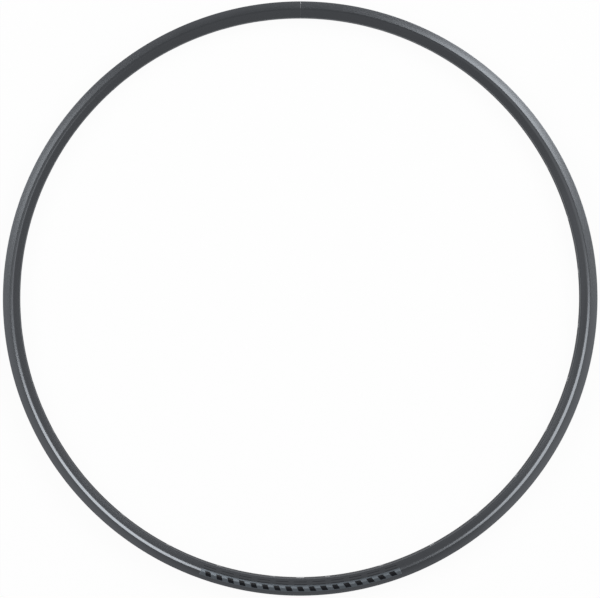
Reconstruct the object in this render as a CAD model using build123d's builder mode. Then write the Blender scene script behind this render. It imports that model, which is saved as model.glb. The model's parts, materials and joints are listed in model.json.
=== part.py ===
from build123d import *
import os
from math import cos, degrees, hypot, radians, sin, tan

# A bare bicycle rim: one hollow double-wall aluminium extrusion, rolled into a hoop.
# Its butted ends meet at +Y over a sleeve pressed into the hollow. The valve hole is at -Y.
# Z is the axle line and the origin is the middle of the rim. All lengths are in millimetres.

# Tyre seat
bead_seat_diameter = 622.0
flange_height = 6.0
inner_width = 25.0  # between the lips of the two hooks
hook_overhang = 0.55
hook_height = 1.5
hook_undercut = 0.7
bead_shelf_width = 4.4
well_depth = 3.0
well_side_run = 2.2

# Outside form
rim_depth = 18.2
flange_wall = 1.4
flange_tip_chamfer = 0.25
flank_lean = 5.0  # degrees that each flank leans, so that the rim is widest at its crests
crest_depth = 7.75  # from the outer edge to the sharp corner under the crest's round
crest_round = 2.0
brow_run = 2.45  # of radius, over the face behind each crest
brow_lean = 17.0  # degrees that this face leans towards the spoke bed
brow_round = 7.5  # where this face turns into the slope
spoke_bed_width = 18.0  # between the sharp corners under the bed's rounded edges
bed_edge_radius = 3.5

# Walls of the hollow
bed_wall = 2.0
side_wall = 1.2
shelf_wall = 1.2
bridge_wall = 1.1
corner_flat_run = 1.6  # cut from both sides of the hollow's corner behind each crest

# Drilling
spoke_count = 32
spoke_hole_diameter = 4.5
spoke_stagger = 1.5  # of every other hole to each side of the middle plane
access_hole_diameter = 8.5
valve_hole_diameter = 8.5
drill_overrun = 3.0

# Butt joint
seam_gap = 0.25
sleeve_length = 48.0
sleeve_wall = 1.2
sleeve_clearance = 0.05

# Radii and half widths of the section
seat_radius = bead_seat_diameter / 2
outer_radius = seat_radius + flange_height
bed_radius = outer_radius - rim_depth
well_radius = seat_radius - well_depth
lip_half = inner_width / 2
flange_half = lip_half + hook_overhang
tip_half = flange_half + flange_wall
shelf_half = flange_half - bead_shelf_width
well_half = shelf_half - well_side_run
bed_half = spoke_bed_width / 2
flank_rise = tan(radians(flank_lean))
crest_radius = outer_radius - crest_depth
crest_half = tip_half + crest_depth * flank_rise
brow_radius = crest_radius - brow_run
brow_half = crest_half - brow_run * tan(radians(brow_lean))
hook_radius = outer_radius - hook_height

# Gain in half width for each millimetre of radius, and the length of wall that takes
slope_rise = (brow_half - bed_half) / (brow_radius - bed_radius)
slope_stretch = hypot(1, slope_rise)
well_rise = well_side_run / well_depth
well_stretch = hypot(1, well_rise)

joint_angle = 90.0
valve_angle = 270.0
spoke_pitch = 360.0 / spoke_count


def section_plane(angle):
    """The plane through the axle line at an angle round it, with radius along x and the axle along y."""
    turn = radians(angle)
    return Plane(origin=(0, 0, 0), x_dir=(cos(turn), sin(turn), 0), z_dir=(sin(turn), -cos(turn), 0))


def mirrored_outline(half_outline, corner_radii):
    """A sketch of (radius, height) from half an outline that starts and ends on the middle plane."""
    with BuildSketch() as outline:
        with BuildLine():
            FilletPolyline(*half_outline, radius=corner_radii)
            mirror(about=Plane.XZ)
        make_face()
    return outline.sketch


def body_outline():
    """The section without its hollow: bed, slopes, brows, crests, hooked flanges, bead shelves and well."""
    tip_radius = outer_radius - flange_tip_chamfer
    rounded_side = [
        (bed_radius, 0),
        (bed_radius, bed_half),
        (brow_radius, brow_half),
        (crest_radius, crest_half),
        (tip_radius, tip_half + flange_tip_chamfer * flank_rise),
    ]
    tyre_side = [
        (outer_radius, tip_half - flange_tip_chamfer),
        (outer_radius, lip_half + flange_tip_chamfer),
        (tip_radius, lip_half),
        (hook_radius, lip_half),
        (hook_radius - hook_undercut, flange_half),
        (seat_radius, flange_half),
        (seat_radius, shelf_half),
        (well_radius, well_half),
        (well_radius, 0),
    ]
    sharp_corners = [0] * len(tyre_side)
    rounds = [bed_edge_radius, brow_round, crest_round] + sharp_corners
    return mirrored_outline(rounded_side + tyre_side, rounds)


def slope_half(radius, depth):
    """Half width at a radius, at a depth of wall inside the outer slopes."""
    return bed_half + (radius - bed_radius) * slope_rise - depth * slope_stretch


def hollow_outline(inset=0.0):
    """The hollow between spoke bed and bridge, at its walls' distances and an inset inside the body."""
    floor_radius = bed_radius + bed_wall + inset
    shelf_radius = seat_radius - shelf_wall - inset
    bridge_radius = well_radius - bridge_wall - inset
    slope_depth = side_wall + inset
    side_half = flange_half - inset
    side_radius = bed_radius + (side_half - bed_half + slope_depth * slope_stretch) / slope_rise
    flat_reach = corner_flat_run / slope_stretch
    well_shift = (bridge_wall + inset) * well_stretch
    half_outline = [
        (floor_radius, 0),
        (floor_radius, slope_half(floor_radius, slope_depth)),
        (side_radius - flat_reach, side_half - flat_reach * slope_rise),
        (side_radius + corner_flat_run, side_half),
        (shelf_radius, side_half),
        (shelf_radius, shelf_half - (seat_radius - shelf_radius) * well_rise + well_shift),
        (bridge_radius, well_half - (well_radius - bridge_radius) * well_rise + well_shift),
        (bridge_radius, 0),
    ]
    return mirrored_outline(half_outline, [0] * (len(half_outline) - 2))


def sleeve_core_outline():
    """The sleeve's own hollow, a wall's thickness inside its floor, slopes and ceiling."""
    inset = sleeve_clearance + sleeve_wall
    floor_radius = bed_radius + bed_wall + inset
    ceiling_radius = well_radius - bridge_wall - inset
    half_outline = [
        (floor_radius, 0),
        (floor_radius, slope_half(floor_radius, side_wall + inset)),
        (ceiling_radius, slope_half(ceiling_radius, side_wall + inset)),
        (ceiling_radius, 0),
    ]
    return mirrored_outline(half_outline, [0] * (len(half_outline) - 2))


# Hoop: the section turned once round the axle, drilled, and parted at the joint
with BuildPart() as rim_hoop:
    with BuildSketch(section_plane(joint_angle)):
        add(body_outline())
        add(hollow_outline(), mode=Mode.SUBTRACT)
    revolve(axis=Axis.Z)

    # Each spoke hole is a step drilling: a wide hole through the bridge lets the nipple reach the bed
    drill_start = well_radius + drill_overrun
    drill_depth = drill_start - bed_radius + drill_overrun
    access_depth = drill_start - (well_radius + bed_radius) / 2
    for side, first_hole in ((1, 0.5), (-1, 1.5)):
        with PolarLocations(drill_start, spoke_count // 2, valve_angle + first_hole * spoke_pitch):
            with Locations(Location((0, 0, side * spoke_stagger), (0, 90, 0))):
                CounterBoreHole(spoke_hole_diameter / 2, access_hole_diameter / 2, access_depth, drill_depth)
    with PolarLocations(drill_start, 1, valve_angle):
        with Locations(Location((0, 0, 0), (0, 90, 0))):
            Hole(valve_hole_diameter / 2, drill_depth)
    with PolarLocations((outer_radius + bed_radius) / 2, 1, joint_angle):
        Box(rim_depth + drill_overrun, seam_gap, 2 * crest_half, mode=Mode.SUBTRACT)

# Sleeve: a short hollow length that fills the rim's hollow across the joint
sleeve_sweep = degrees(sleeve_length / (bed_radius + bed_wall))
with BuildPart() as joint_sleeve:
    with BuildSketch(section_plane(joint_angle - sleeve_sweep / 2)):
        add(hollow_outline(sleeve_clearance))
        add(sleeve_core_outline(), mode=Mode.SUBTRACT)
    revolve(axis=Axis.Z, revolution_arc=sleeve_sweep)

os.makedirs("parts", exist_ok=True)
rim_hoop.part.label = "rim_hoop"
joint_sleeve.part.label = "joint_sleeve"
export_step(rim_hoop.part, "parts/rim_hoop.step")
export_step(joint_sleeve.part, "parts/joint_sleeve.step")
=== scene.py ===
import json
from math import cos, pi, radians, sin, tan

import bpy
import numpy as np
from mathutils import Matrix, Vector
from mathutils.geometry import delaunay_2d_cdt


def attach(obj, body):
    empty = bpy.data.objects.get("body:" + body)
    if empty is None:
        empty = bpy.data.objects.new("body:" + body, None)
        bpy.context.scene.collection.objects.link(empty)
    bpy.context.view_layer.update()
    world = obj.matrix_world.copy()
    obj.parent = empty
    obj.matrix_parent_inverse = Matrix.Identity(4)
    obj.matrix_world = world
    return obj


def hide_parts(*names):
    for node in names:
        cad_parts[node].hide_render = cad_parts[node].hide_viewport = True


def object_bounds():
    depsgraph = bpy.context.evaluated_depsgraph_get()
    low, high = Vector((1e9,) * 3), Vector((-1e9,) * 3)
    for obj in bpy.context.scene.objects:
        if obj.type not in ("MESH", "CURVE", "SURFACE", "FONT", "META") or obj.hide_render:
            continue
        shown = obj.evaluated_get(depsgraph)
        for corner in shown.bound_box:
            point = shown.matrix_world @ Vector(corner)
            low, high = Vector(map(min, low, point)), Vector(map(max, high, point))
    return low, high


# A bare black bicycle rim, lying flat and seen from above along its axle line.
# Z is the axle line. The butt joint is at +Y and the valve hole at -Y. All lengths are in metres.

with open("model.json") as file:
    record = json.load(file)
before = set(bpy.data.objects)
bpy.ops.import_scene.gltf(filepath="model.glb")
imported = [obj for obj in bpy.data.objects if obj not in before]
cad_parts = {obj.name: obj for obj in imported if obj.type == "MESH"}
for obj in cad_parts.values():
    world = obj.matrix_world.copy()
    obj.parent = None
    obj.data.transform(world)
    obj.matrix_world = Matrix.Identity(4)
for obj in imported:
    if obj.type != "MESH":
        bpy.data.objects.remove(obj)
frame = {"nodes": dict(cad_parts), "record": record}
cad_low, cad_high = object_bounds()
mounts = {mount["name"]: mount for mount in frame["record"]["mounts"]}

MM = 0.001

# Section of the extrusion, from the spoke bed outwards
bed_radius = 298.8 * MM
well_radius = 308.0 * MM
seat_radius = 311.0 * MM
outer_radius = 317.0 * MM
bed_half = 9.0 * MM
brow_radius = 306.8 * MM
brow_lean = radians(17.0)
crest_radius = 309.25 * MM
tip_half = 14.45 * MM
lip_half = 12.5 * MM
flange_half = 13.05 * MM
shelf_half = 8.65 * MM
well_half = 6.45 * MM
hook_height = 1.5 * MM
hook_undercut = 0.7 * MM
flank_lean = radians(5.0)
flank_hollow = 0.03 * MM
hollow_round = 200.0 * MM
bed_round = 3.5 * MM
brow_round = 7.5 * MM
crest_round = 2.0 * MM
tip_round = 0.2 * MM
edge_round = 0.25 * MM
guard_run = 0.08 * MM

# Hollow between the spoke bed and the bridge under the tyre
floor_radius = 300.8 * MM
bridge_radius = 306.9 * MM
shelf_roof_radius = 309.8 * MM
floor_half = 8.9 * MM
bridge_half = 7.0 * MM
shelf_roof_half = 9.13 * MM
hollow_corner_radius = 306.974 * MM
hollow_corner_flat = 1.6 * MM

# Drilling and joint
spoke_count = 32
spoke_hole_radius = mounts["spoke_hole_upper_row"]["dims"]["r_mm"] * MM
spoke_stagger = mounts["spoke_hole_upper_row"]["pos_m"][2]
access_hole_radius = 4.25 * MM
valve_hole_radius = mounts["valve_hole"]["dims"]["r_mm"] * MM
joint_turn = radians(90.0)
valve_turn = radians(270.0)
joint_gap = 0.08 * MM
bare_edge_inner = 0.012 * MM
bare_edge_crest = 0.025 * MM
bare_edge_outer = 0.085 * MM
hole_chamfer = 0.3 * MM

# Mesh of the hoop: two cells to each spoke hole, each with its own columns, and strips that are drilled.
# Rings of points lie between a hole and its cell's edge, at shares of the way. The hole's first point has the
# bearing of the cell's first corner.
cell_turn = pi / spoke_count
cell_columns = np.array([-1.0, -0.55, -0.25, 0.0, 0.25, 0.55, 1.0])
strip_rows = 6
ring_shares = np.array([0.0, 0.1, 0.35])
corner_bearing = radians(210.0)
merge_distance = 1e-9
sharp_angle = radians(40.0)

# A piece's finishes: that of its face, and that of its drilled or cut edges
FACE, CUT = 0, 1

# Print on the upper face, by the valve hole: a satin film, slanted bars on it, and two broken hairlines inside them
film_length = 218.0 * MM
film_radii = (305.8 * MM, 312.8 * MM)
film_lift = 0.02 * MM
film_end = 0.35 * MM
film_columns = 121
print_edge = 0.02 * MM
print_spread = radians(18.6)
bar_count = 17
bar_width = 6.2 * MM
bar_slant = 2.4 * MM
bar_radii = (307.2 * MM, 312.2 * MM)
bar_columns = 3
dash_count = 11
dash_length = 13.5 * MM
dash_width = 0.4 * MM
dash_radii = [305.2 * MM, 302.5 * MM]
dash_columns = 7
ink_lift = 0.04 * MM
print_sink = 0.05 * MM

# Noise in the finishes: cells to a metre, and for the extrusion lines to a metre of section and a radian of turn
line_density = 2600.0
line_drift = 1.2
extrusion_lines = {"Scale": 1.0, "Detail": 3.0, "Roughness": 0.6}
cloudiness = {"Scale": 38.0, "Detail": 4.0, "Roughness": 0.55}
metal_grain = {"Scale": 2400.0, "Detail": 1.0}
tool_marks = {"Scale": 1500.0, "Detail": 3.0, "Roughness": 0.6}
film_grain = {"Scale": 900.0, "Detail": 2.0}

# Bands of the black finish and of its painted shade along the crest: runs of radius from the crest, the brow and the
# spoke bed
crest_band = 0.6 * MM
crest_shade = 2.0 * MM
brow_dull_start = 2.4 * MM
brow_dull_full = 1.0 * MM
bed_dull_start = 2.2 * MM
bed_dull_full = 2.0 * MM
matt_band = 0.8 * MM

# Lamps: azimuth and angle off the axle line in degrees, width, length, and power in watts
lamp_distance = 3.2
lamps = {
    "softbox_right": (40.5, 35.5, 2.0, 2.12, 42.0),
    "softbox_left": (154.0, 35.4, 1.9, 2.1, 28.8),
    "fill_left": (198.0, 34.0, 2.5, 3.5, 5.5),
    "fill_right": (-10.0, 46.5, 3.2, 1.0, 6.0),
    "fill_above": (-18.0, 20.5, 1.4, 1.1, 1.3),
}
room_light = 0.32

# Floor
floor_reach = 60.0
floor_gap = 0.02 * MM
floor_glow = 0.95

# Camera and photograph
image_width = 600
image_height = 598
rim_centre_px = (300.2, 298.57)
rim_radius_px = 297.5
camera_height = 6.47
camera_offset = (-0.027, 0.041)
sensor_width_mm = 36.0
farthest_view = 200.0


class Wire:
    """An output socket of a node, with Python's arithmetic on it: each operator adds one Math node."""

    def __init__(self, shader, socket):
        self.shader = shader
        self.socket = socket

    def output(self, key):
        """Another output of the same node, by its number or name."""
        return Wire(self.shader, self.socket.node.outputs[key])

    def __add__(self, other):
        return self.shader.maths("ADD", self, other)

    def __mul__(self, other):
        return self.shader.maths("MULTIPLY", self, other)

    __radd__ = __add__
    __rmul__ = __mul__


class Shader:
    """The node tree of a material or a world, emptied, with one method that adds any node."""

    def __init__(self, owner):
        owner.use_nodes = True
        self.owner = owner
        self.tree = owner.node_tree
        self.tree.nodes.clear()

    def node(self, kind, settings=None, *values, out=0, numbered=None, **named_values):
        """Adds a node, sets its settings, then fills its sockets in order, by number and by name."""
        made = self.tree.nodes.new(kind)
        for name, setting in (settings or {}).items():
            setattr(made, name, setting)
        for key, value in [*enumerate(values), *(numbered or {}).items(), *named_values.items()]:
            socket = made.inputs[key.replace("_", " ") if isinstance(key, str) else key]
            if isinstance(value, Wire):
                self.tree.links.new(value.socket, socket)
            else:
                socket.default_value = value
        return Wire(self, made.outputs[out]) if made.outputs else made

    def maths(self, operation, *values):
        """The result of a Math node."""
        return self.node("ShaderNodeMath", {"operation": operation}, *values)

    def object_place(self):
        """The piece's own coordinates."""
        return self.node("ShaderNodeTexCoord", out="Object")

    def ramp(self, value, start, full):
        """Rises from 0 where a value is at the start to 1 where it is at the full mark, and is level beyond both."""
        return self.node("ShaderNodeMapRange", None, value, start, full, 0.0, 1.0)

    def surface(self, shader):
        """Puts a shader on the surface, and returns the material."""
        self.node("ShaderNodeOutputMaterial", None, Surface=shader)
        return self.owner


def rounded(start, corners, end):
    """Points of a line from start to end by way of corners, each rounded by an arc tangent to both its sides.

    A corner is given as (radius, height, round, steps). Its arc starts and ends at the round times tan(half the
    turn) from the corner, and the arc's points lie at equal angles about its centre, which is on the corner's
    bisector. A point just outside each end of the arc keeps the shading of the straight sides flat.
    """
    line = np.array([start, *[corner[:2] for corner in corners], end])
    points = [line[:1]]
    for before, corner, after, (*_, radius, steps) in zip(line, line[1:], line[2:], corners):
        way_in = (corner - before) / np.linalg.norm(corner - before)
        way_out = (after - corner) / np.linalg.norm(after - corner)
        turn = np.arctan2(way_in[0] * way_out[1] - way_in[1] * way_out[0], way_in @ way_out)
        side = np.sign(turn) * np.array([-way_in[1], way_in[0]])
        arc_start = corner - way_in * radius * np.tan(abs(turn) / 2)
        angle = np.linspace(0.0, abs(turn), steps + 1)[:, None]
        arc = arc_start + radius * (np.sin(angle) * way_in + (1 - np.cos(angle)) * side)
        points += [arc[:1] - guard_run * way_in, arc, arc[-1:] + guard_run * way_out]
    return np.concatenate([*points, line[-1:]])


def section_loop(half_line):
    """A closed loop of (radius, height) from half of it, with the two drilled strips as even rows.

    The half line runs from the middle of the inner strip to the middle of the outer one. Its mirror image
    below the middle plane closes the loop. Returns the loop and the rows of its two strips.
    """
    upper = half_line[1:-1]
    lower = upper[::-1] * (1.0, -1.0)
    share = np.linspace(0.0, 1.0, strip_rows + 1)[:, None]
    inner_strip = lower[-1] + share * (upper[0] - lower[-1])
    outer_strip = upper[-1] + share * (lower[0] - upper[-1])
    loop = np.concatenate([inner_strip, upper[1:-1], outer_strip, lower[1:-1]])
    inner_rows = np.arange(strip_rows + 1)
    return loop, inner_rows, inner_rows + strip_rows + len(upper) - 1


def body_loop():
    """The section's outside: bed, slopes, brows, crests, hooked flanges, bead shelves and well."""
    crest_half = tip_half + (outer_radius - crest_radius) * tan(flank_lean)
    brow_half = crest_half - (crest_radius - brow_radius) * tan(brow_lean)
    flank_middle = ((crest_radius + outer_radius) / 2, (crest_half + tip_half) / 2 - flank_hollow)
    # Each corner's radius and height, its round, and the steps of that round
    corners = [
        (bed_radius, bed_half, bed_round, 6),
        (brow_radius, brow_half, brow_round, 8),
        (crest_radius, crest_half, crest_round, 7),
        (*flank_middle, hollow_round, 4),
        (outer_radius, tip_half, tip_round, 4),
        (outer_radius, lip_half, tip_round, 4),
        (outer_radius - hook_height, lip_half, edge_round, 2),
        (outer_radius - hook_height - hook_undercut, flange_half, edge_round, 2),
        (seat_radius, flange_half, edge_round, 3),
        (seat_radius, shelf_half, edge_round, 3),
        (well_radius, well_half, edge_round, 3),
    ]
    return section_loop(rounded((bed_radius, 0.0), corners, (well_radius, 0.0)))


def hollow_loop():
    """The section's hollow, which the drill holes open on both sides. A flat cuts its corner behind the crest."""
    floor_end = np.array([floor_radius, floor_half])
    corner = np.array([hollow_corner_radius, flange_half])
    down_slope = (floor_end - corner) / np.linalg.norm(floor_end - corner)
    outline = [
        (floor_radius, 0.0),
        floor_end,
        corner + hollow_corner_flat * down_slope,
        corner + (hollow_corner_flat, 0.0),
        (shelf_roof_radius, flange_half),
        (shelf_roof_radius, shelf_roof_half),
        (bridge_radius, bridge_half),
        (bridge_radius, 0.0),
    ]
    return section_loop(np.array(outline))


def column_turns():
    """Angles of the hoop's columns, once round from the joint: cells side by side, half a cell at each end.

    Each end's column is there twice, for the bare edge between the two.
    """
    cells = joint_turn + cell_turn * np.arange(2 * spoke_count + 1)
    turns = (cells[:, None] + cell_turn / 2 * cell_columns[:-1]).ravel()
    half_cell = len(cell_columns) // 2
    turns = turns[half_cell : len(turns) - half_cell + 1]
    return np.concatenate([turns[:1], turns, turns[-1:]])


def on_circle(radius, angle, height):
    """Points at a radius and an angle round the axle line, at a height along it."""
    return np.stack(np.broadcast_arrays(radius * np.cos(angle), radius * np.sin(angle), height), axis=-1)


def turned(loop, turns):
    """A section carried round the axle: (columns, rows, 3). Both end columns lie in the joint's flat faces.

    The columns next to them bound the ends' bare edges, which are filed wider towards the tyre.
    """
    radius, height = loop.T
    angle = np.repeat(turns[:, None], len(loop), axis=1)
    bare_edge = np.interp(
        radius, [bed_radius, crest_radius, outer_radius], [bare_edge_inner, bare_edge_crest, bare_edge_outer]
    )
    half_gap = np.arcsin(joint_gap / 2 / radius)
    angle[:2] += half_gap
    angle[-2:] -= half_gap
    angle[1] += bare_edge / radius
    angle[-2] -= bare_edge / radius
    return on_circle(radius, angle, height)


class SurfaceMesh:
    """Points and faces of one piece's surface, gathered as arrays."""

    def __init__(self):
        self.points = []
        self.faces = []
        self.finishes = []
        self.size = 0

    def add_points(self, points):
        """Keeps an array of points and returns their numbers, in the array's shape."""
        count = points[..., 0].size
        numbers = np.arange(self.size, self.size + count).reshape(points.shape[:-1])
        self.points.append(points.reshape(-1, 3))
        self.size += count
        return numbers

    def add_faces(self, faces, finish, flipped=False):
        """Keeps an array of faces, each a row of points' numbers, with the number of their finish."""
        faces = faces.reshape(-1, faces.shape[-1])
        self.faces.append(faces[:, ::-1] if flipped else faces)
        self.finishes.append(np.full(len(faces), finish))

    def used_points_and_faces(self):
        """The points that faces use, and the faces as lists of those points' new numbers."""
        used, corners = np.unique(np.concatenate([faces.ravel() for faces in self.faces]), return_inverse=True)
        pieces = np.split(corners, np.cumsum([faces.size for faces in self.faces])[:-1])
        lists = [row for piece, faces in zip(pieces, self.faces) for row in piece.reshape(faces.shape).tolist()]
        return np.concatenate(self.points)[used], lists


def drilled_surface(mesh, section, turns, hole_columns, hole_turns, hole_heights, hole_radii, hollow):
    """A turned section with round holes through its two strips, and the numbers of the holes' edge points.

    Each hole takes the place of one cell of its strip. There the points run from the hole's circle to the
    cell's rectangular edge: point k of the circle is joined to point k of the edge, and the rings between
    them are shares of the way, in angle and height. From outside each hole has a chamfer at 45 degrees.
    """
    chamfer = 0.0 if hollow else hole_chamfer
    loop, *strips = section
    grid = mesh.add_points(turned(loop, turns))
    row_after = np.roll(np.arange(len(loop)), -1)
    quads = np.stack([grid[:-1], grid[:-1, row_after], grid[1:, row_after], grid[1:]], axis=-1)
    keep = np.ones(quads.shape[:2], bool)

    across = np.arange(len(cell_columns))
    along = np.arange(1, strip_rows)
    edge_columns = np.concatenate([across, np.full_like(along, across[-1]), across[::-1], np.zeros_like(along)])
    edge_rows = np.concatenate([np.zeros_like(across), along, np.full_like(across, strip_rows), along[::-1]])
    around = corner_bearing + 2 * pi * np.arange(len(edge_rows)) / len(edge_rows)
    share = ring_shares[:, None]
    hole_edges = []
    for rows, upward, radii in zip(strips, (1.0, -1.0), hole_radii):
        strip_radius = loop[rows[0], 0]
        cells = hole_columns[:, None] + edge_columns
        keep[(hole_columns[:, None] + across[:-1])[:, :, None], rows[:-1]] = False
        reach = radii[:, None] + chamfer
        circle_turn = hole_turns[:, None] + np.arcsin(reach * np.cos(around) / strip_radius)
        circle_height = hole_heights[:, None] + upward * reach * np.sin(around)
        ring_turn = circle_turn[:, None] + share * (turns[cells] - circle_turn)[:, None]
        ring_height = circle_height[:, None] + share * (loop[rows[edge_rows], 1] - circle_height)[:, None]
        rings = mesh.add_points(on_circle(strip_radius, ring_turn, ring_height))
        rings = np.concatenate([rings, grid[cells, rows[edge_rows]][:, None]], axis=1)
        after = np.roll(rings, -1, axis=-1)
        ring_quads = [rings[:, :-1], after[:, :-1], after[:, 1:], rings[:, 1:]]
        mesh.add_faces(np.stack(ring_quads, axis=-1), FACE, hollow)
        edge = rings[:, 0]
        if chamfer:
            mouth_radius = strip_radius + upward * chamfer
            mouth_turn = hole_turns[:, None] + np.arcsin(radii[:, None] * np.cos(around) / mouth_radius)
            mouth_height = hole_heights[:, None] + upward * radii[:, None] * np.sin(around)
            mouth = mesh.add_points(on_circle(mouth_radius, mouth_turn, mouth_height))
            bevel = [mouth, np.roll(mouth, -1, axis=-1), np.roll(edge, -1, axis=-1), edge]
            mesh.add_faces(np.stack(bevel, axis=-1), CUT)
            edge = mouth
        hole_edges.append(edge)
    keep[[0, -1]] = False
    mesh.add_faces(quads[keep], FACE, hollow)
    mesh.add_faces(quads[[0, -1]], CUT, hollow)
    return grid, hole_edges


def wall_fill(outside, hollow):
    """Triangles that fill a section between its outside and its hollow, as numbers of the two loops' points."""
    corners = [Vector(point) for point in np.concatenate([outside, hollow])]
    sides = np.split(np.arange(len(corners)), [len(outside)])
    inside_with_holes = 2
    filled = delaunay_2d_cdt(corners, [], [side.tolist() for side in sides], inside_with_holes, merge_distance)
    triangles, given_points = filled[2], filled[3]
    return np.array([given[0] for given in given_points])[np.array(triangles)]


def hoop_surface():
    """The whole hoop as one closed surface: outside, hollow, the walls of its holes and its two flat ends.

    The first whole cell starts after the joint's doubled column and half a cell. Every second cell from there has
    a spoke hole, and the valve hole is in the cell midway round.
    """
    spoke_number = np.arange(spoke_count)
    first_cell = len(cell_columns) // 2 + 1
    whole_cell = len(cell_columns) - 1
    spoke_columns = first_cell + 2 * whole_cell * spoke_number
    valve_column = first_cell + whole_cell * (spoke_count - 1)
    stagger = np.where(spoke_number % 2 == 0, spoke_stagger, -spoke_stagger)
    bed_holes = np.append(np.full(spoke_count, spoke_hole_radius), valve_hole_radius)
    bridge_holes = np.append(np.full(spoke_count, access_hole_radius), valve_hole_radius)
    holes = (
        column_turns(),
        np.append(spoke_columns, valve_column),
        np.append(joint_turn + cell_turn * (2 * spoke_number + 1), valve_turn),
        np.append(stagger, 0.0),
        (bed_holes, bridge_holes),
    )

    mesh = SurfaceMesh()
    body_section = body_loop()
    hollow_section = hollow_loop()
    body, body_edges = drilled_surface(mesh, body_section, *holes, hollow=False)
    hollow, hollow_edges = drilled_surface(mesh, hollow_section, *holes, hollow=True)
    for outside, inside in zip(body_edges, hollow_edges):
        wall = [np.roll(outside, -1, axis=1), outside, inside, np.roll(inside, -1, axis=1)]
        mesh.add_faces(np.stack(wall, axis=-1), CUT)

    fill = wall_fill(body_section[0], hollow_section[0])
    mesh.add_faces(np.concatenate([body[0], hollow[0]])[fill], CUT)
    mesh.add_faces(np.concatenate([body[-1], hollow[-1]])[fill], CUT, flipped=True)
    return mesh


def make_piece(name, mesh, materials):
    """A mesh object at the origin with smooth faces, sharp only where they meet at more than the sharp angle."""
    data = bpy.data.meshes.new(name)
    points, faces = mesh.used_points_and_faces()
    data.from_pydata(points, [], faces)
    data.polygons.foreach_set("material_index", np.concatenate(mesh.finishes).astype(np.int32))
    for material in materials:
        data.materials.append(material)
    data.shade_smooth()
    data.set_sharp_from_angle(angle=sharp_angle)
    piece = bpy.data.objects.new(name, data)
    bpy.context.scene.collection.objects.link(piece)
    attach(piece, "root")
    return piece


def printed_row(mesh, centres, width, radii, lift, columns, slant=0.0, end_run=print_edge, end_finish=FACE):
    """Adds a row of alike marks laid on the face, each a grid in (across, along the section).

    The grid's rows are the section's own points between two radii, lifted along the section's normal. The
    slant adds a step round the axle in proportion to the share of the way outwards. The outermost rows and
    columns sink into the face, over a small run, and the columns at both ends may have a run of their own.
    """
    loop = body_loop()[0]
    face = loop[: np.argmax(loop[:, 0])]
    face = face[face[:, 1] > 0]
    inside = face[(face[:, 0] > radii[0]) & (face[:, 0] < radii[1]), 0]
    along = np.concatenate([radii[:1], inside, radii[1:]])
    height = np.interp(along, face[:, 0], face[:, 1])
    slope = np.gradient(height, along)
    along, height, slope = (np.pad(values, 1, mode="edge") for values in (along, height, slope))
    across = np.pad(np.linspace(-width / 2, width / 2, columns), 1, mode="edge")
    across[[0, -1]] += (-end_run, end_run)
    along[[0, -1]] += (-print_edge, print_edge)
    lifts = np.full((len(across), len(along)), lift)
    lifts[[0, -1]] = -print_sink
    lifts[:, [0, -1]] = -print_sink
    steep = np.sqrt(1 + slope**2)
    radius = along - lifts * slope / steep
    level = height + lifts / steep
    middle = np.mean(radii)
    share = (along - middle) / (radii[1] - radii[0])
    turn = centres[:, None, None] + (across[:, None] + share * slant) / middle
    grid = mesh.add_points(on_circle(radius, turn, level))
    quads = np.stack([grid[:, :-1, :-1], grid[:, :-1, 1:], grid[:, 1:, 1:], grid[:, 1:, :-1]], axis=-1)
    mesh.add_faces(quads[:, 1:-1], FACE)
    mesh.add_faces(quads[:, [0, -1]], end_finish)


def printed_film():
    """The satin film under the print, as one long mark with a visible cut edge at either end."""
    mesh = SurfaceMesh()
    middle = np.array([valve_turn])
    printed_row(mesh, middle, film_length, film_radii, film_lift, film_columns, end_run=film_end, end_finish=CUT)
    return mesh


def printed_marks():
    """The printed bars and the two broken hairlines, as one mesh of separate grids."""
    mesh = SurfaceMesh()
    bar_turns = valve_turn + np.linspace(-print_spread, print_spread, bar_count)
    printed_row(mesh, bar_turns, bar_width, bar_radii, ink_lift, bar_columns, slant=bar_slant)
    dash_turns = valve_turn + np.linspace(-print_spread, print_spread, dash_count)
    for radius in dash_radii:
        edges = (radius - dash_width / 2, radius + dash_width / 2)
        printed_row(mesh, dash_turns, dash_length, edges, ink_lift, dash_columns)
    return mesh


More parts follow.
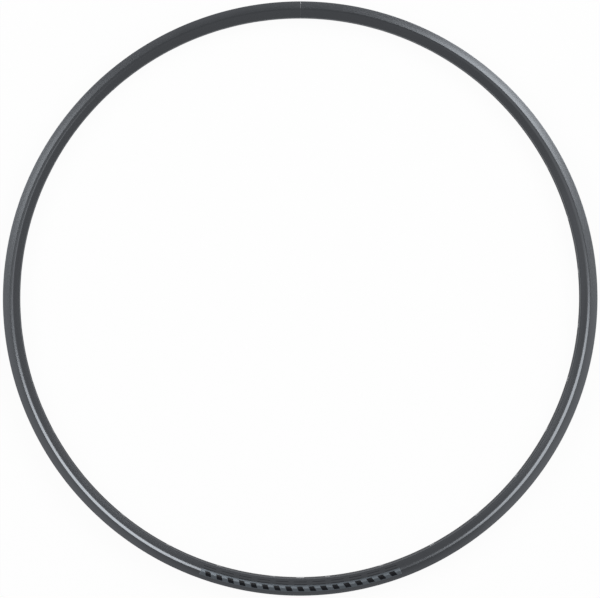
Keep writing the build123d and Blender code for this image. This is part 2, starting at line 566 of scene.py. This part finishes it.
def black_anodise():
    """Satin black anodised aluminium, with fine lines of the extrusion round the hoop over a faint cloudiness.

    Its colour carries painted light by the radius about the axle line: a painted shade, darkest along the crest, and
    a painted sheen, a painted reflection of the room, paler outwards over the flank and inwards over the slope.
    Inside the crest it is a little duller, most of all over the brow and towards the spoke bed, and the bed itself
    is mostly matt.
    """
    shader = Shader(bpy.data.materials.new("black_anodise"))
    place = shader.object_place()
    split = shader.node("ShaderNodeSeparateXYZ", None, place)
    x, y, height = (split.output(axis) for axis in "XYZ")
    radius = shader.maths("SQRT", x * x + y * y)
    angle = shader.maths("ARCTAN2", y, x)

    line_place = shader.node(
        "ShaderNodeCombineXYZ", None, radius * line_density, height * line_density, angle * line_drift
    )
    lines = shader.node("ShaderNodeTexNoise", None, Vector=line_place, **extrusion_lines)
    cloud = shader.node("ShaderNodeTexNoise", None, Vector=place, **cloudiness)
    grain = shader.node("ShaderNodeTexNoise", None, Vector=place, **metal_grain)

    # These two ramps paint light into the colour: a painted sheen paler towards the tip and down the slope, which
    # leaves a painted shade along the crest.
    painted_flank_sheen = shader.ramp(radius, crest_radius, outer_radius)
    painted_slope_sheen = shader.ramp(radius, crest_radius - crest_band, crest_radius - crest_shade)
    inside_crest = shader.ramp(radius, crest_radius, crest_radius - crest_band)
    on_brow = shader.ramp(radius, brow_radius - brow_dull_start, brow_radius - brow_dull_full)
    bedward = shader.ramp(radius, brow_radius - bed_dull_start, bed_radius + bed_dull_full)
    on_bed = shader.ramp(radius, bed_radius + matt_band, bed_radius)

    # Mix share: painted sheen by radius, plus a small random spread from the extrusion lines and cloudiness. The
    # dark colour is the black in painted shade at the crest, and the pale one is the black in painted sheen.
    painted_sheen_and_lines = painted_flank_sheen * 0.83 + painted_slope_sheen * 0.32 + lines * 0.11 + cloud * 0.075
    dark = (0.0005, 0.0006, 0.002, 1.0)
    pale = (0.041, 0.042, 0.047, 1.0)
    # A Mix node takes its colours in sockets 6 and 7, and gives their mix in output 2
    colour_with_painted_sheen = shader.node("ShaderNodeMix", {"data_type": "RGBA"}, out=2, numbered={0: painted_sheen_and_lines, 6: dark, 7: pale})
    dullness = inside_crest * (0.015 + on_brow * 0.04) + bedward * 0.06 + on_bed * 0.35
    satin = shader.node(
        "ShaderNodeBsdfPrincipled",
        None,
        Base_Color=colour_with_painted_sheen,
        Roughness=0.13 + lines * 0.04 + cloud * 0.03 + dullness,
        IOR=2.2,
        Specular_Tint=(0.9, 0.96, 1.03, 1.0),
        Normal=shader.node("ShaderNodeBump", None, Strength=0.05, Distance=0.04 * MM, Height=lines + grain * 0.2),
    )
    matt = shader.node("ShaderNodeBsdfDiffuse", None, Color=(0.05, 0.051, 0.056, 1.0))
    return shader.surface(shader.node("ShaderNodeMixShader", None, on_bed * 0.65, satin, matt))


def grained(name, grain, colour, roughness, spread, **sockets):
    """A plain material, whose roughness is a value plus a spread times a fine grain."""
    shader = Shader(bpy.data.materials.new(name))
    noise = shader.node("ShaderNodeTexNoise", None, Vector=shader.object_place(), **grain)
    rough = roughness + noise * spread
    return shader.surface(
        shader.node("ShaderNodeBsdfPrincipled", None, Base_Color=(*colour, 1.0), Roughness=rough, **sockets)
    )


def bare_aluminium():
    """Cut aluminium in the holes and at the joint, with fine tool marks."""
    return grained("bare_aluminium", tool_marks, (0.79, 0.8, 0.82), 0.28, 0.2, Metallic=1.0)


def satin_film():
    """Clear satin film over the black metal: the same sheen, spread wider by a fine grain."""
    tint = (0.86, 0.97, 1.07, 1.0)
    return grained("satin_film", film_grain, (0.020, 0.023, 0.028), 0.37, 0.06, IOR=2.2, Specular_Tint=tint)


def film_edge():
    """Milky cut edge of the film."""
    return grained("film_edge", film_grain, (0.3, 0.32, 0.35), 0.4, 0.1)


def black_ink():
    """Blue-black ink of the printed bars."""
    return grained("black_ink", film_grain, (0.004, 0.0045, 0.007), 0.3, 0.1, IOR=1.3)


def white_floor(height):
    """A wide white floor under the rim, which shows as white and still takes a soft shadow."""
    shader = Shader(bpy.data.materials.new("white_floor"))
    path = shader.node("ShaderNodeLightPath")
    mirrored = shader.maths("MAXIMUM", path.output("Is Glossy Ray"), path.output("Is Transmission Ray"))
    seen = shader.maths("MAXIMUM", path.output("Is Camera Ray"), mirrored)
    paper = shader.node("ShaderNodeBsdfDiffuse", None, Color=(0.9, 0.9, 0.9, 1.0))
    glow = shader.node("ShaderNodeEmission", None, Color=(1.0, 1.0, 1.0, 1.0), Strength=1.0)
    material = shader.surface(shader.node("ShaderNodeMixShader", None, seen * floor_glow, paper, glow))
    data = bpy.data.meshes.new("floor")
    corners = [(x * floor_reach, y * floor_reach, height) for x, y in [(-1, -1), (1, -1), (1, 1), (-1, 1)]]
    data.from_pydata(corners, [], [(0, 1, 2, 3)])
    data.materials.append(material)
    floor = bpy.data.objects.new("floor", data)
    bpy.context.scene.collection.objects.link(floor)


def softbox(name, azimuth, off_axis, width, length, power):
    """An elliptical lamp that faces the rim's middle, at an azimuth round the axle line and an angle off it."""
    lamp = bpy.data.lights.new(name, "AREA")
    lamp.shape = "ELLIPSE"
    lamp.size = width
    lamp.size_y = length
    lamp.energy = power
    holder = bpy.data.objects.new(name, lamp)
    out = Vector((cos(azimuth) * sin(off_axis), sin(azimuth) * sin(off_axis), cos(off_axis)))
    facing = out.to_track_quat("Z", "Y").to_matrix().to_4x4()
    holder.matrix_world = Matrix.Translation(out * lamp_distance) @ facing
    bpy.context.scene.collection.objects.link(holder)


def soft_light():
    """Two softboxes, above to the right and left of the picture, and three weak fills, in an even pale room."""
    for name, (azimuth, off_axis, width, length, power) in lamps.items():
        softbox(name, radians(azimuth), radians(off_axis), width, length, power)
    world = bpy.data.worlds.new("room")
    bpy.context.scene.world = world
    shader = Shader(world)
    room = shader.node("ShaderNodeBackground", None, Color=(1.0, 1.0, 1.0, 1.0), Strength=room_light)
    shader.node("ShaderNodeOutputWorld", None, Surface=room)


def add_camera():
    """A camera far above the rim, a little off the axle line, aimed so that the outer edge fills the picture.

    The focal length in pixels is the edge's radius in the picture times its distance over its real radius. The
    nearer side of the edge is drawn larger, which moves the middle of its outline by the radius squared over
    the camera's height, times the camera's offset, so the aim is moved by as much.
    """
    edge_height = cad_high[2]
    pixels_per_metre = rim_radius_px / outer_radius
    camera = bpy.data.cameras.new("camera")
    camera.sensor_fit = "HORIZONTAL"
    camera.sensor_width = sensor_width_mm
    camera.clip_end = farthest_view
    place = Vector((camera_offset[0] * camera_height, camera_offset[1] * camera_height, camera_height))
    swell = outer_radius**2 / camera_height
    aim = Vector(
        (
            (image_width / 2 - rim_centre_px[0]) / pixels_per_metre + camera_offset[0] * swell,
            (rim_centre_px[1] - image_height / 2) / pixels_per_metre + camera_offset[1] * swell,
            edge_height,
        )
    )
    camera.lens = pixels_per_metre * (place - aim).length * camera.sensor_width / image_width
    back = (place - aim).normalized()
    right = Vector((0.0, 1.0, 0.0)).cross(back).normalized()
    up = back.cross(right)
    holder = bpy.data.objects.new("camera", camera)
    holder.matrix_world = Matrix.Translation(place) @ Matrix((right, up, back)).transposed().to_4x4()
    bpy.context.scene.collection.objects.link(holder)
    bpy.context.scene.camera = holder


aluminium = bare_aluminium()

rim = make_piece("rim", hoop_surface(), [black_anodise(), aluminium])
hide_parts("rim_hoop")

film = make_piece("printed_film", printed_film(), [satin_film(), film_edge()])
bars = make_piece("printed_bars", printed_marks(), [black_ink()])

sleeve = frame["nodes"]["joint_sleeve"]
sleeve.data.materials.clear()
sleeve.data.materials.append(aluminium)

white_floor(cad_low[2] - floor_gap)
soft_light()
add_camera()
bpy.context.scene.view_settings.view_transform = "Standard"
